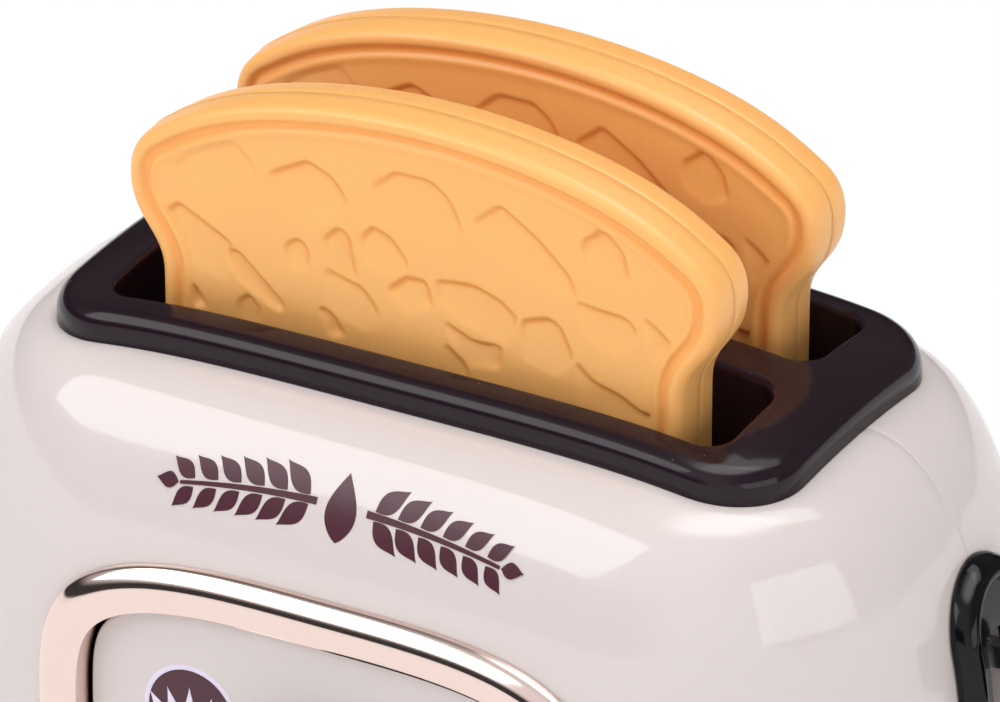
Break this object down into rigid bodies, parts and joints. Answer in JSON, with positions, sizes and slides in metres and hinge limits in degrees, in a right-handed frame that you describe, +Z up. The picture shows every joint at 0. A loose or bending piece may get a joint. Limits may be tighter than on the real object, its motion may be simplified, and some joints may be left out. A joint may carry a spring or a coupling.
{
  "type": "toy toaster",
  "caption": "Pretend-play toaster with a domed two-slot top, two plastic toast slices, a push-down side lever and a ringed front panel with a timer dial.",
  "frame": {"origin": "middle of the box that holds the part, on the floor under the feet", "axes": "+X towards the lever's end, -Y towards the front with the oval ring, +Z up"},
  "size_m": [0.2022, 0.1184, 0.1681],
  "materials": {
    "cream_shell": "glossy moulded plastic",
    "umber_gloss": "glossy dark brown plastic",
    "rose_metal": "rose-gold plated plastic",
    "black_gloss": "glossy black plastic",
    "black_matte": "moulded black plastic",
    "toast_plastic": "soft satin orange-yellow plastic",
    "steel": "bright drawn steel",
    "ivory_plastic": "natural nylon",
    "board_green": "solder-masked board",
    "lamp_red": "clear red lamp",
    "switch_orange": "moulded plastic",
    "cell_wrap": "wrapped steel can",
    "foot_rubber": "soft rubber"
  },
  "bodies": {
    "root": {"front_shell": "cream_shell", "rear_shell": "cream_shell", "top_bezel": "umber_gloss", "base_plate": "umber_gloss", "front_ring": "rose_metal", "front_panel": "cream_shell", "dial_switch": "black_matte", "lever_housing": "black_gloss", "guide_rods": "steel", "return_springs": "steel", "toast_chamber": "black_matte", "latch_pin": "steel", "latch_spring": "steel", "timer_motor": "steel", "cam_axle": "steel", "circuit_board": "board_green", "board_screws": "steel", "speaker": "black_matte", "glow_lamps": "lamp_red", "power_switch": "black_matte", "start_switch": "black_matte", "batteries": "cell_wrap", "battery_contacts": "steel", "battery_door": "umber_gloss", "door_screw": "steel", "shell_screws": "steel", "base_screws": "steel", "feet": "foot_rubber"},
    "carriage": {"carriage": "black_matte", "lever_arm": "steel", "lever_knob": "black_gloss"},
    "front_slice": {"front_slice_face": "toast_plastic", "front_slice_back": "toast_plastic"},
    "rear_slice": {"rear_slice_face": "toast_plastic", "rear_slice_back": "toast_plastic"},
    "latch": {"latch_rocker": "ivory_plastic"},
    "dial": {"timer_dial": "umber_gloss"},
    "pinion": {"motor_pinion": "ivory_plastic"},
    "cam": {"cam_gear": "ivory_plastic"},
    "slider": {"power_slider": "switch_orange"}
  },
  "joints": [
    {"name": "lever_press", "type": "slide", "parent": "root", "child": "carriage", "axis": [0, 0, -1], "range_m": [0, 0.04], "stiffness_N_per_m": 70, "springref_m": -0.045, "deforming": ["return_springs"]},
    {"name": "front_slice_lift", "type": "slide", "parent": "carriage", "child": "front_slice", "axis": [0, 0, 1], "range_m": [0, 0.1]},
    {"name": "rear_slice_lift", "type": "slide", "parent": "carriage", "child": "rear_slice", "axis": [0, 0, 1], "range_m": [0, 0.1]},
    {"name": "latch_tip", "type": "hinge", "parent": "root", "child": "latch", "pos_m": [0.0499, -0.02326, 0.012], "axis": [-1, 0, 0], "range_deg": [0, 9], "stiffness_Nm_per_rad": 0.05},
    {"name": "dial_turn", "type": "hinge", "parent": "root", "child": "dial", "pos_m": [-0.0081, -0.05076, 0.06], "axis": [0, -1, 0], "range_deg": [0, 270]},
    {"name": "cam_spin", "type": "hinge", "parent": "root", "child": "cam", "pos_m": [0.0399, -0.00676, 0.018], "axis": [0, 0, 1], "continuous": true},
    {"name": "pinion_spin", "type": "hinge", "parent": "root", "child": "pinion", "pos_m": [0.0239, -0.00676, 0.018], "axis": [0, 0, 1], "continuous": true},
    {"name": "power_slide", "type": "slide", "parent": "root", "child": "slider", "axis": [1, 0, 0], "range_m": [0, 0.004]}
  ],
  "couplings": [
    {"joint": "pinion_spin", "follows": "cam_spin", "ratio": -3}
  ]
}
